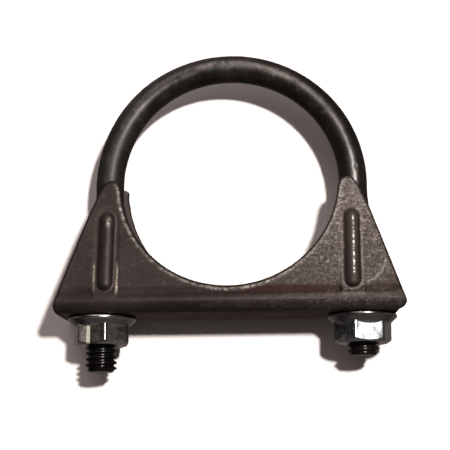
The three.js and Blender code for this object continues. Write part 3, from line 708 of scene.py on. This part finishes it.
# ------------------------------------------------------------------ materials
class Nodes:
    """Small helper for building a material's node tree."""

    def __init__(self, name):
        self.mat = bpy.data.materials.new(name)
        self.mat.use_nodes = True
        self.t = self.mat.node_tree
        self.t.nodes.clear()
        self.out = self.t.nodes.new("ShaderNodeOutputMaterial")
        self.bsdf = self.t.nodes.new("ShaderNodeBsdfPrincipled")
        self.t.links.new(self.bsdf.outputs[0], self.out.inputs[0])
        tc = self.t.nodes.new("ShaderNodeTexCoord")
        mp = self.t.nodes.new("ShaderNodeMapping")
        mp.inputs["Scale"].default_value = (1000, 1000, 1000)  # so that texture sizes read in millimetres
        self.t.links.new(tc.outputs["Object"], mp.inputs["Vector"])
        self.mm = mp.outputs[0]

    def link(self, a, b):
        self.t.links.new(a, b)

    def set(self, sock, v):
        if isinstance(v, bpy.types.NodeSocket):
            self.link(v, sock)
        else:
            sock.default_value = v

    def stretch(self, sx, sy, sz, loc=(0, 0, 0), rot=(0, 0, 0), src=None):
        m = self.t.nodes.new("ShaderNodeMapping")
        m.inputs["Scale"].default_value = (sx, sy, sz)
        m.inputs["Location"].default_value = loc
        m.inputs["Rotation"].default_value = rot
        self.link(src or self.mm, m.inputs["Vector"])
        return m.outputs[0]

    def noise(self, size, detail=3.0, rough=0.55, vec=None, distortion=0.0):
        n = self.t.nodes.new("ShaderNodeTexNoise")
        n.inputs["Scale"].default_value = 1.0 / size
        n.inputs["Detail"].default_value = detail
        n.inputs["Roughness"].default_value = rough
        n.inputs["Distortion"].default_value = distortion
        self.link(vec or self.mm, n.inputs["Vector"])
        return n.outputs["Fac"]

    def voronoi(self, size, feature="F1", vec=None, rnd=1.0):
        n = self.t.nodes.new("ShaderNodeTexVoronoi")
        n.feature = feature
        n.inputs["Scale"].default_value = 1.0 / size
        n.inputs["Randomness"].default_value = rnd
        self.link(vec or self.mm, n.inputs["Vector"])
        return n.outputs["Distance"]

    def ramp(self, fac, stops):
        n = self.t.nodes.new("ShaderNodeValToRGB")
        e = n.color_ramp.elements
        while len(e) > 1:
            e.remove(e[-1])
        for k, (p, c) in enumerate(stops):
            el = e[0] if k == 0 else e.new(p)
            el.position = p
            el.color = (*c, 1) if len(c) == 3 else c
        self.link(fac, n.inputs["Fac"])
        return n.outputs["Color"]

    def rng(self, fac, a, b, c=0.0, d=1.0, smooth=False):
        n = self.t.nodes.new("ShaderNodeMapRange")
        n.clamp = True
        if smooth:
            n.interpolation_type = "SMOOTHSTEP"
        self.set(n.inputs["Value"], fac)
        for k, v in zip(("From Min", "From Max", "To Min", "To Max"), (a, b, c, d)):
            n.inputs[k].default_value = v
        return n.outputs["Result"]

    def math(self, op, a, b=None, c=None):
        n = self.t.nodes.new("ShaderNodeMath")
        n.operation = op
        for k, v in enumerate((a, b, c)):
            if v is not None:
                self.set(n.inputs[k], v)
        return n.outputs[0]

    def mix(self, fac, a, b, mode="MIX"):
        n = self.t.nodes.new("ShaderNodeMix")
        n.data_type = "RGBA"
        n.blend_type = mode
        n.clamp_factor = True
        self.set(n.inputs["Factor"], fac)
        for k, v in (("A", a), ("B", b)):
            s = [q for q in n.inputs if q.name == k and q.type == "RGBA"][0]
            if isinstance(v, bpy.types.NodeSocket):
                self.link(v, s)
            else:
                s.default_value = (*v, 1) if len(v) == 3 else v
        return [q for q in n.outputs if q.type == "RGBA"][0]

    def attr(self, name):
        n = self.t.nodes.new("ShaderNodeAttribute")
        n.attribute_name = name
        return n.outputs["Fac"]

    def axis(self, k):
        n = self.t.nodes.new("ShaderNodeSeparateXYZ")
        self.link(self.mm, n.inputs[0])
        return n.outputs[k]

    def bump(self, height, strength, dist_mm, normal=None):
        n = self.t.nodes.new("ShaderNodeBump")
        n.inputs["Strength"].default_value = strength
        n.inputs["Distance"].default_value = dist_mm * MM
        self.link(height, n.inputs["Height"])
        if normal is not None:
            self.link(normal, n.inputs["Normal"])
        return n.outputs[0]


def rod_material():
    m = Nodes("dark_rod_steel")
    tone = m.noise(6.0, 4, 0.6)
    fine = m.noise(0.5, 3, 0.6)
    scuff = m.rng(m.noise(2.6, 5, 0.7, m.stretch(1, 1, 0.5)), 0.56, 0.72, 0, 1, True)
    col = m.ramp(tone, [(0.30, (0.0100, 0.0076, 0.0066)), (0.5, (0.0165, 0.0127, 0.0111)), (0.72, (0.030, 0.0235, 0.0208))])
    col = m.mix(m.math("MULTIPLY", scuff, 0.35), col, (0.13, 0.118, 0.112))
    pits = m.rng(m.voronoi(1.9), 0.05, 0.16, 1, 0, True)
    pits = m.math("MULTIPLY", pits, m.rng(m.noise(7, 2), 0.5, 0.62))
    col = m.mix(m.math("MULTIPLY", pits, 0.7), col, (0.008, 0.006, 0.005))
    thread = m.math("MULTIPLY", m.attr("thread"), m.rng(m.axis(0), -5.0, 5.0, 0.95, 0.6))
    col = m.mix(thread, col, (0.0050, 0.0038, 0.0034))
    # painted highlight along the front crest of the bend
    col = m.mix(m.math("MULTIPLY", m.attr("crest"), m.rng(m.noise(2.2, 4, 0.65), 0.36, 0.60, 0.22, 1.0)), col, (0.205, 0.176, 0.160))
    m.link(col, m.bsdf.inputs["Base Color"])
    m.bsdf.inputs["Metallic"].default_value = 0.55
    m.bsdf.inputs["Specular IOR Level"].default_value = 0.5
    rough = m.rng(m.math("ADD", m.math("MULTIPLY", tone, 0.6), m.math("MULTIPLY", fine, 0.4)), 0.3, 0.7, 0.26, 0.40)
    rough = m.math("ADD", rough, m.math("MULTIPLY", scuff, 0.08))
    leg = m.math("MULTIPLY", m.rng(m.axis(1), 26.0, 10.0, -0.03, 0.15, True), m.rng(m.axis(0), 8.0, -8.0, 0.2, 1))
    rough = m.math("ADD", rough, m.math("MULTIPLY", leg, m.rng(m.axis(1), -20.0, -12.0, 0, 1)))
    rough = m.math("SUBTRACT", rough, m.math("MULTIPLY", m.attr("thread"), 0.08))
    m.link(rough, m.bsdf.inputs["Roughness"])
    h = m.math("ADD", m.math("MULTIPLY", fine, 0.5), m.math("MULTIPLY", scuff, 0.35))
    h = m.math("SUBTRACT", h, m.math("MULTIPLY", pits, 1.2))
    b1 = m.bump(m.noise(1.8, 2, 0.5), 0.35, 0.05)
    m.link(m.bump(h, 0.35, 0.035, b1), m.bsdf.inputs["Normal"])
    return m.mat


def sheet_material():
    m = Nodes("oiled_sheet_steel")
    x = m.axis(0)
    y = m.axis(1)
    right = m.rng(x, 3.0, 26.0, 0, 1, True)  # the right half is drier and rougher, and painted lighter as if more lit from the right
    tone = m.noise(9.0, 4, 0.6)
    mott = m.noise(1.1, 5, 0.65)
    grain = m.noise(0.42, 4, 0.72)
    col = m.ramp(tone, [(0.28, (0.0160, 0.0108, 0.0098)), (0.5, (0.0230, 0.0158, 0.0143)), (0.75, (0.034, 0.0240, 0.0220))])
    light = m.ramp(mott, [(0.3, (0.024, 0.0175, 0.0160)), (0.52, (0.040, 0.0300, 0.0270)), (0.78, (0.086, 0.067, 0.061))])
    col = m.mix(m.math("MULTIPLY", right, 0.62), col, light)
    # painted light: the walls are painted lighter towards the top on the right side
    high = m.math("MULTIPLY", right, m.rng(y, -24.0, -2.0, 0, 1))
    high = m.math("MULTIPLY", high, m.rng(x, 33.0, 38.0, 1, 0.6))
    col = m.mix(m.math("MULTIPLY", high, 0.34), col, (0.15, 0.122, 0.112))
    # the walls darken towards the foot
    low = m.math("MULTIPLY", m.rng(y, -29.0, -13.0, 1, 0), m.rng(y, -31.4, -29.7, -0.1, 1))
    col = m.mix(m.math("MULTIPLY", low, 0.36), col, (0.0075, 0.0052, 0.0047))
    # dark and bright flecks where the scale has lifted, coarse and fine, but not on the beads
    plain = m.math("SUBTRACT", 1.0, m.math("MULTIPLY", m.attr("bead"), 0.85))
    dry = m.math("MULTIPLY", right, plain)
    blotch = m.noise(0.95, 5, 0.68, m.stretch(1, 1, 1, loc=(17.0, 5.0, 3.0)))
    patch = m.rng(m.noise(4.5, 3, 0.6), 0.40, 0.60, 0.35, 1, True)
    dark = m.math("MULTIPLY", m.rng(blotch, 0.49, 0.37, 0, 1, True), m.math("ADD", m.math("MULTIPLY", dry, 0.72), 0.14))
    col = m.mix(dark, col, (0.012, 0.0088, 0.0080))
    upper = m.math("MULTIPLY", m.math("MULTIPLY", m.rng(y, -27.0, -4.0, 0.30, 1), m.rng(x, 33.0, 38.0, 1, 0.7)), dry)
    amount = m.math("MULTIPLY", m.math("MULTIPLY", m.rng(blotch, 0.52, 0.66, 0, 1, True), patch), m.math("ADD", m.math("MULTIPLY", upper, 0.62), 0.05))
    col = m.mix(amount, col, (0.34, 0.30, 0.265))
    amount = m.math("MULTIPLY", m.rng(grain, 0.54, 0.67, 0, 1, True), m.math("ADD", m.math("MULTIPLY", upper, 0.55), 0.04))
    col = m.mix(amount, col, (0.38, 0.335, 0.305))
    col = m.mix(m.math("MULTIPLY", m.math("MULTIPLY", m.attr("pad"), right), m.rng(y, -22.0, -26.0, 0, 0.30)), col, (0.012, 0.0090, 0.0082))
    # smooth darker metal on the beads, and a painted highlight round the rim of each, strongest on the right bead
    col = m.mix(m.math("MULTIPLY", m.math("MULTIPLY", m.attr("bead"), right), 0.8), col, (0.0270, 0.0205, 0.0165))
    col = m.mix(m.math("MULTIPLY", m.attr("bead_rim_highlight"), m.rng(grain, 0.40, 0.58, 0.25, 0.75)), col, (0.150, 0.126, 0.112))
    # dark red-brown film on the upper side of the pressed line, and a painted highlight along its lower edge
    film = m.math("MULTIPLY", m.rng(y, -29.3, -28.7, 0, 1, True), m.rng(y, -26.4, -27.6, 0, 1, True))
    film = m.math("MULTIPLY", film, m.rng(m.noise(5.0, 3, 0.6, m.stretch(0.5, 1, 1)), 0.30, 0.60, 0.45, 1.0))
    film = m.math("MULTIPLY", film, m.rng(x, -24.0, -12.0, 0.45, 1.0))
    wet = m.mix(m.math("MULTIPLY", m.rng(x, -8.0, 4.0, 0.15, 1.0), m.rng(x, 34.0, 27.0, 0.5, 1.0)), (0.0070, 0.0044, 0.0040), (0.0135, 0.0050, 0.0048))
    col = m.mix(m.math("MULTIPLY", m.math("MULTIPLY", film, 0.85), m.math("SUBTRACT", 1.0, m.math("MULTIPLY", m.attr("pad"), 0.95))), col, wet)
    ledge_highlight = m.math("MULTIPLY", m.rng(y, -30.3, -29.7, 0, 1, True), m.rng(y, -28.9, -29.4, 0, 1, True))
    ledge_highlight = m.math("MULTIPLY", ledge_highlight, m.math("MULTIPLY", m.rng(x, 0.0, 27.0, 0.05, 1.0), m.rng(mott, 0.40, 0.60, 0.4, 1.0)))
    col = m.mix(m.math("MULTIPLY", ledge_highlight, 0.55), col, (0.120, 0.098, 0.088))
    # rubbed metal and painted highlight along the edge on the pipe; painted highlights on the crests of the beads and
    # on the lips beside the left pad
    spots = m.rng(m.noise(0.62, 4, 0.68), 0.46, 0.58, 0, 1, True)
    rub_and_highlight = m.math("MULTIPLY", m.attr("edge"), m.rng(m.noise(1.0, 4, 0.68), 0.40, 0.58, 0.15, 1, True))
    rub_and_highlight = m.math("MULTIPLY", rub_and_highlight, m.math("ADD", m.math("MULTIPLY", spots, 0.5), 0.36))
    col = m.mix(m.math("MULTIPLY", rub_and_highlight, 0.95), col, (0.52, 0.47, 0.43))
    # painted light: the inner faces are painted lighter, as if lit
    col = m.mix(m.math("MULTIPLY", m.attr("inner"), 0.45), col, (0.085, 0.071, 0.066))
    painted_bead_highlight = m.math("MULTIPLY", m.attr("painted_bead_highlight"), m.math("ADD", m.math("MULTIPLY", spots, 0.82), 0.08))
    col = m.mix(painted_bead_highlight, col, (0.62, 0.57, 0.54))
    col = m.mix(m.math("MULTIPLY", m.attr("lips"), m.math("ADD", m.math("MULTIPLY", spots, 0.5), 0.25)), col, (0.34, 0.28, 0.22))
    # painted shadow along the right foot of each bead
    painted_bead_shadow = m.math("MULTIPLY", m.attr("painted_bead_shadow"), 0.75)
    col = m.mix(painted_bead_shadow, col, (0.004, 0.003, 0.003))
    # dark cut faces, with painted shade on the rounded edges next to them
    cut_and_edge_shade = m.attr("cut_and_edge_shade")
    col = m.mix(m.math("MULTIPLY", cut_and_edge_shade, 0.93), col, (0.0065, 0.0050, 0.0046))
    # a few fine scratches
    s1 = m.noise(1.0, 2, 0.5, m.stretch(3.2, 0.10, 1, rot=(0, 0, math.radians(-28))))
    scr = m.rng(s1, 0.70, 0.745, 0, 1, True)
    scr = m.math("MULTIPLY", scr, m.rng(m.noise(7.0, 2), 0.5, 0.6))
    scr = m.math("MULTIPLY", scr, m.rng(y, -25.0, -21.0, 0, 0.35))
    col = m.mix(m.math("MULTIPLY", scr, right), col, (0.26, 0.225, 0.21))
    col = m.mix(m.math("MULTIPLY", m.attr("mark"), m.rng(grain, 0.40, 0.58, 0.10, 0.55)), col, (0.30, 0.27, 0.25))
    m.link(col, m.bsdf.inputs["Base Color"])
    # the oil film and the dark arrises lose the pale sheen of the scale
    m.link(m.rng(m.math("MAXIMUM", film, m.math("MULTIPLY", cut_and_edge_shade, 0.9)), 0, 1, 0.5, 0.9), m.bsdf.inputs["Metallic"])
    m.bsdf.inputs["Specular IOR Level"].default_value = 0.32
    m.bsdf.inputs["Specular Tint"].default_value = (1.0, 0.86, 0.80, 1.0)
    rough = m.rng(tone, 0.3, 0.7, 0.42, 0.55)
    rough = m.math("ADD", rough, m.math("MULTIPLY", right, 0.08))
    rough = m.math("SUBTRACT", rough, m.math("MULTIPLY", m.math("MAXIMUM", rub_and_highlight, painted_bead_highlight), 0.16))
    m.link(m.math("ADD", rough, m.math("MULTIPLY", cut_and_edge_shade, 0.15)), m.bsdf.inputs["Roughness"])
    rough_h = m.math("MULTIPLY", m.math("ADD", m.math("MULTIPLY", grain, 0.6), m.math("MULTIPLY", mott, 0.5)), m.math("ADD", m.math("MULTIPLY", dry, 0.85), 0.30))
    b1 = m.bump(m.noise(3.2, 3, 0.5), 0.3, 0.06)
    m.link(m.bump(rough_h, 0.65, 0.07, b1), m.bsdf.inputs["Normal"])
    return m.mat


def zinc_material(name, tint, seed, rough_lo, rough_hi, rim_film):
    m = Nodes(name)
    v = m.stretch(1, 1, 1, loc=(seed * 11.0, seed * 5.0, seed * 3.0))
    tone = m.noise(2.6, 4, 0.6, v)
    fine = m.noise(0.28, 4, 0.7, v)
    patchy = m.noise(0.9, 4, 0.65, v)
    col = m.ramp(tone, [(0.25, tuple(c * 0.72 for c in tint)), (0.5, tint), (0.78, tuple(min(1, c * 1.18) for c in tint))])
    stain = m.rng(m.noise(1.3, 5, 0.7, v), 0.56, 0.70, 0, 1, True)
    col = m.mix(m.math("MULTIPLY", stain, 0.35), col, (0.22, 0.19, 0.15))
    col = m.mix(m.rng(patchy, 0.50, 0.66, 0, 0.35, True), col, tuple(c * 0.62 for c in tint))
    across = m.attr("across")
    painted_reflection_strip = None
    if seed == 1:  # the left nut's front flat, painted reflection: pale on its left, a bright upright strip, a dark line, then darker olive on its right part
        painted_olive_reflection = m.math("MULTIPLY", m.rng(across, -0.30, 0.0, 0, 1, True), m.rng(across, 3.9, 3.4, 0, 1, True))
        col = m.mix(m.math("MULTIPLY", painted_olive_reflection, 0.72), col, (0.085, 0.070, 0.045))
        painted_pale_reflection = m.rng(across, -1.3, -1.5, 0, 1, True)
        col = m.mix(m.math("MULTIPLY", painted_pale_reflection, m.rng(patchy, 0.40, 0.60, 0.1, 0.75, True)), col, (0.50, 0.45, 0.36))
        painted_reflection_strip = m.math("MULTIPLY", m.rng(across, -1.45, -1.25, 0, 1, True), m.rng(across, -0.25, -0.45, 0, 1, True))
        col = m.mix(m.math("MULTIPLY", painted_reflection_strip, 0.9), col, (0.68, 0.645, 0.55))
        line = m.math("MULTIPLY", m.rng(across, -0.28, -0.14, 0, 1, True), m.rng(across, 0.22, 0.02, 0, 1, True))
        col = m.mix(m.math("MULTIPLY", line, 0.8), col, (0.05, 0.045, 0.02))
    col = m.mix(m.math("MULTIPLY", m.attr("cone"), m.rng(tone, 0.35, 0.65, 0.45, 0.75)), col, (0.13, 0.135, 0.14))
    rim = m.attr("rim")
    col = m.mix(m.math("MULTIPLY", rim, m.rng(patchy, 0.38, 0.60, 0.35 * rim_film, 0.8 * rim_film, True)), col, (0.17, 0.135, 0.115))
    m.link(col, m.bsdf.inputs["Base Color"])
    m.bsdf.inputs["Metallic"].default_value = 1.0
    rough = m.rng(fine, 0.3, 0.7, rough_lo, rough_hi)
    rough = m.math("ADD", rough, m.math("MULTIPLY", stain, 0.14))
    if painted_reflection_strip is not None:
        rough = m.math("ADD", rough, m.math("MULTIPLY", painted_reflection_strip, 0.50))
        rough = m.math("ADD", rough, m.math("MULTIPLY", painted_pale_reflection, m.rng(patchy, 0.42, 0.60, 0.12, 0.30)))
        rough = m.math("ADD", rough, m.math("MULTIPLY", painted_olive_reflection, m.rng(patchy, 0.42, 0.60, 0.05, 0.16)))
    m.link(rough, m.bsdf.inputs["Roughness"])
    b1 = m.bump(m.noise(1.6, 2, 0.5, v), 0.35, 0.05)
    m.link(m.bump(m.math("ADD", m.math("MULTIPLY", fine, 0.3), m.math("MULTIPLY", patchy, 0.8)), 0.22, 0.02, b1), m.bsdf.inputs["Normal"])
    return m.mat


# ------------------------------------------------------------------ pieces
rod = build_rod()
rod.data.materials.append(rod_material())
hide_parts("u_bolt")
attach(rod, "u_bolt")

sheet = build_saddle()
sheet.data.materials.append(sheet_material())
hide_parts("saddle")
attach(sheet, "saddle")

left_nut = build_nut("left_nut_zinc", -STUD_X, LEFT_NUT_TURN, 3)
left_nut.data.materials.append(zinc_material("zinc_left", (0.52, 0.52, 0.50), 1, 0.12, 0.24, 0.15))
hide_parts("left_flange_nut")
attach(left_nut, "left_nut")

right_nut = build_nut("right_nut_zinc", STUD_X, RIGHT_NUT_TURN, 8)
right_nut.data.materials.append(zinc_material("zinc_right", (0.47, 0.49, 0.49), 2, 0.15, 0.25, 0.9))
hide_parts("right_flange_nut")
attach(right_nut, "right_nut")

# ------------------------------------------------------------------ stage
floor_z = cad_lo[2] - 0.0002
me = bpy.data.meshes.new("floor")
g, S = 48, 1.2
vs = [((i / g - 0.5) * 2 * S, (j / g - 0.5) * 2 * S, floor_z) for j in range(g + 1) for i in range(g + 1)]
fs = [(j * (g + 1) + i, j * (g + 1) + i + 1, (j + 1) * (g + 1) + i + 1, (j + 1) * (g + 1) + i) for j in range(g) for i in range(g)]
me.from_pydata(vs, [], fs)
floor = bpy.data.objects.new("floor", me)
bpy.context.collection.objects.link(floor)
fm = Nodes("pale_floor")
fcol = fm.ramp(fm.noise(40, 2), [(0.3, (0.86, 0.79, 0.78)), (0.7, (0.88, 0.81, 0.80))])
fm.link(fcol, fm.bsdf.inputs["Base Color"])
fm.bsdf.inputs["Roughness"].default_value = 0.9
fm.bsdf.inputs["Specular IOR Level"].default_value = 0.1
me.materials.append(fm.mat)
floor.visible_glossy = False
floor.visible_diffuse = False

# a pale paper wall round the table, far enough away to light nothing
me = bpy.data.meshes.new("paper")
k, W, H = 96, 1.15, 1.6
vs = [(W * math.cos(2 * math.pi * i / k), W * math.sin(2 * math.pi * i / k), floor_z + H * j / 8) for j in range(9) for i in range(k)]
me.from_pydata(vs, [], ring_faces(9, k))
paper = bpy.data.objects.new("paper", me)
bpy.context.collection.objects.link(paper)
pm = Nodes("pale_paper")
pcol = pm.ramp(pm.noise(60, 2), [(0.3, (0.80, 0.795, 0.79)), (0.7, (0.84, 0.835, 0.83))])
pm.link(pcol, pm.bsdf.inputs["Base Color"])
pm.link(pcol, pm.bsdf.inputs["Emission Color"])
pm.bsdf.inputs["Emission Strength"].default_value = 0.92
pm.bsdf.inputs["Roughness"].default_value = 1.0
me.materials.append(pm.mat)
paper.visible_glossy = False
paper.visible_diffuse = False
paper.visible_shadow = False

# ------------------------------------------------------------------ light
scene = bpy.context.scene
scene.view_settings.view_transform = "Standard"
world = bpy.data.worlds.new("studio")
scene.world = world
world.use_nodes = True
wt = world.node_tree
bg = wt.nodes["Background"]


def world_lobe(direction, inner_deg, outer_deg):
    """1 inside a soft round patch of the room and 0 outside it."""
    d = Vector(direction).normalized()
    tc = wt.nodes.new("ShaderNodeTexCoord")
    nrm = wt.nodes.new("ShaderNodeVectorMath")
    nrm.operation = "NORMALIZE"
    wt.links.new(tc.outputs["Generated"], nrm.inputs[0])
    dot = wt.nodes.new("ShaderNodeVectorMath")
    dot.operation = "DOT_PRODUCT"
    dot.inputs[1].default_value = d
    wt.links.new(nrm.outputs[0], dot.inputs[0])
    mr = wt.nodes.new("ShaderNodeMapRange")
    mr.interpolation_type = "SMOOTHSTEP"
    mr.inputs["From Min"].default_value = math.cos(math.radians(outer_deg))
    mr.inputs["From Max"].default_value = math.cos(math.radians(inner_deg))
    wt.links.new(dot.outputs["Value"], mr.inputs["Value"])
    return mr.outputs["Result"]


def world_mix(fac, a, b):
    m = wt.nodes.new("ShaderNodeMix")
    m.data_type = "RGBA"
    wt.links.new(fac, m.inputs["Factor"])
    for k, v in (("A", a), ("B", b)):
        sck = [q for q in m.inputs if q.name == k and q.type == "RGBA"][0]
        if isinstance(v, bpy.types.NodeSocket):
            wt.links.new(v, sck)
        else:
            sck.default_value = (*v, 1)
    return [q for q in m.outputs if q.type == "RGBA"][0]


# a dim room, lighter overhead and to the back, with a dull table underneath
room = world_mix(world_lobe((0, 0, -1), 20, 70), (0.0185, 0.0125, 0.0130), (0.16, 0.13, 0.125))
room = world_mix(world_lobe((1.0, 0.05, -0.06), 8, 36), room, (0.16, 0.145, 0.14))
room = world_mix(world_lobe((-1.0, 0.05, -0.06), 8, 36), room, (0.16, 0.145, 0.14))
room = world_mix(world_lobe((0.22, -0.96, 0.10), 12, 62), room, (0.15, 0.134, 0.128))
room = world_mix(world_lobe((-0.40, 0.90, 0.12), 12, 52), room, (0.50, 0.45, 0.43))
room = world_mix(world_lobe((-0.10, 0.42, 0.90), 8, 38), room, (0.66, 0.59, 0.56))
room = world_mix(world_lobe((-0.16, 0.76, 0.63), 6, 26), room, (1.35, 1.24, 1.18))
wt.links.new(room, bg.inputs[0])
bg.inputs[1].default_value = 1.0


def area(name, loc, target, size, power, color=(1, 1, 1)):
    l = bpy.data.lights.new(name, "AREA")
    l.shape = "DISK"
    l.size = size
    l.energy = power
    l.color = color
    o = bpy.data.objects.new(name, l)
    o.location = loc
    d = Vector(target) - Vector(loc)
    o.rotation_mode = "QUATERNION"
    o.rotation_quaternion = d.to_track_quat("-Z", "Y")
    bpy.context.collection.objects.link(o)
    return o


area("key", (0.20, 0.085, 0.60), (0, -0.005, 0), 0.045, 6.0, (1.0, 0.985, 0.96))

# ------------------------------------------------------------------ camera
cam_data = bpy.data.cameras.new("camera")
cam = bpy.data.objects.new("camera", cam_data)
bpy.context.collection.objects.link(cam)
CAM = np.array([23.6, -71.8, 300.0])
TARGET = np.array([-1.469, -10.155, 0.0])
FOCAL_PX = 1217.0
ROLL = -0.002
fwd = (TARGET - CAM) / np.linalg.norm(TARGET - CAM)
rgt = np.cross(fwd, np.array([0, 1.0, 0]))
rgt /= np.linalg.norm(rgt)
upv = np.cross(rgt, fwd)
cr, sr = math.cos(ROLL), math.sin(ROLL)
rgt, upv = cr * rgt + sr * upv, -sr * rgt + cr * upv
from mathutils import Matrix

R = Matrix(((rgt[0], upv[0], -fwd[0]), (rgt[1], upv[1], -fwd[1]), (rgt[2], upv[2], -fwd[2])))
cam.rotation_mode = "QUATERNION"
cam.rotation_quaternion = R.to_quaternion()
cam.location = Vector(CAM * MM)
cam_data.sensor_width = 36.0
cam_data.sensor_fit = "HORIZONTAL"
cam_data.lens = FOCAL_PX / 450.0 * 36.0
cam_data.clip_start, cam_data.clip_end = 0.01, 10.0
scene.camera = cam
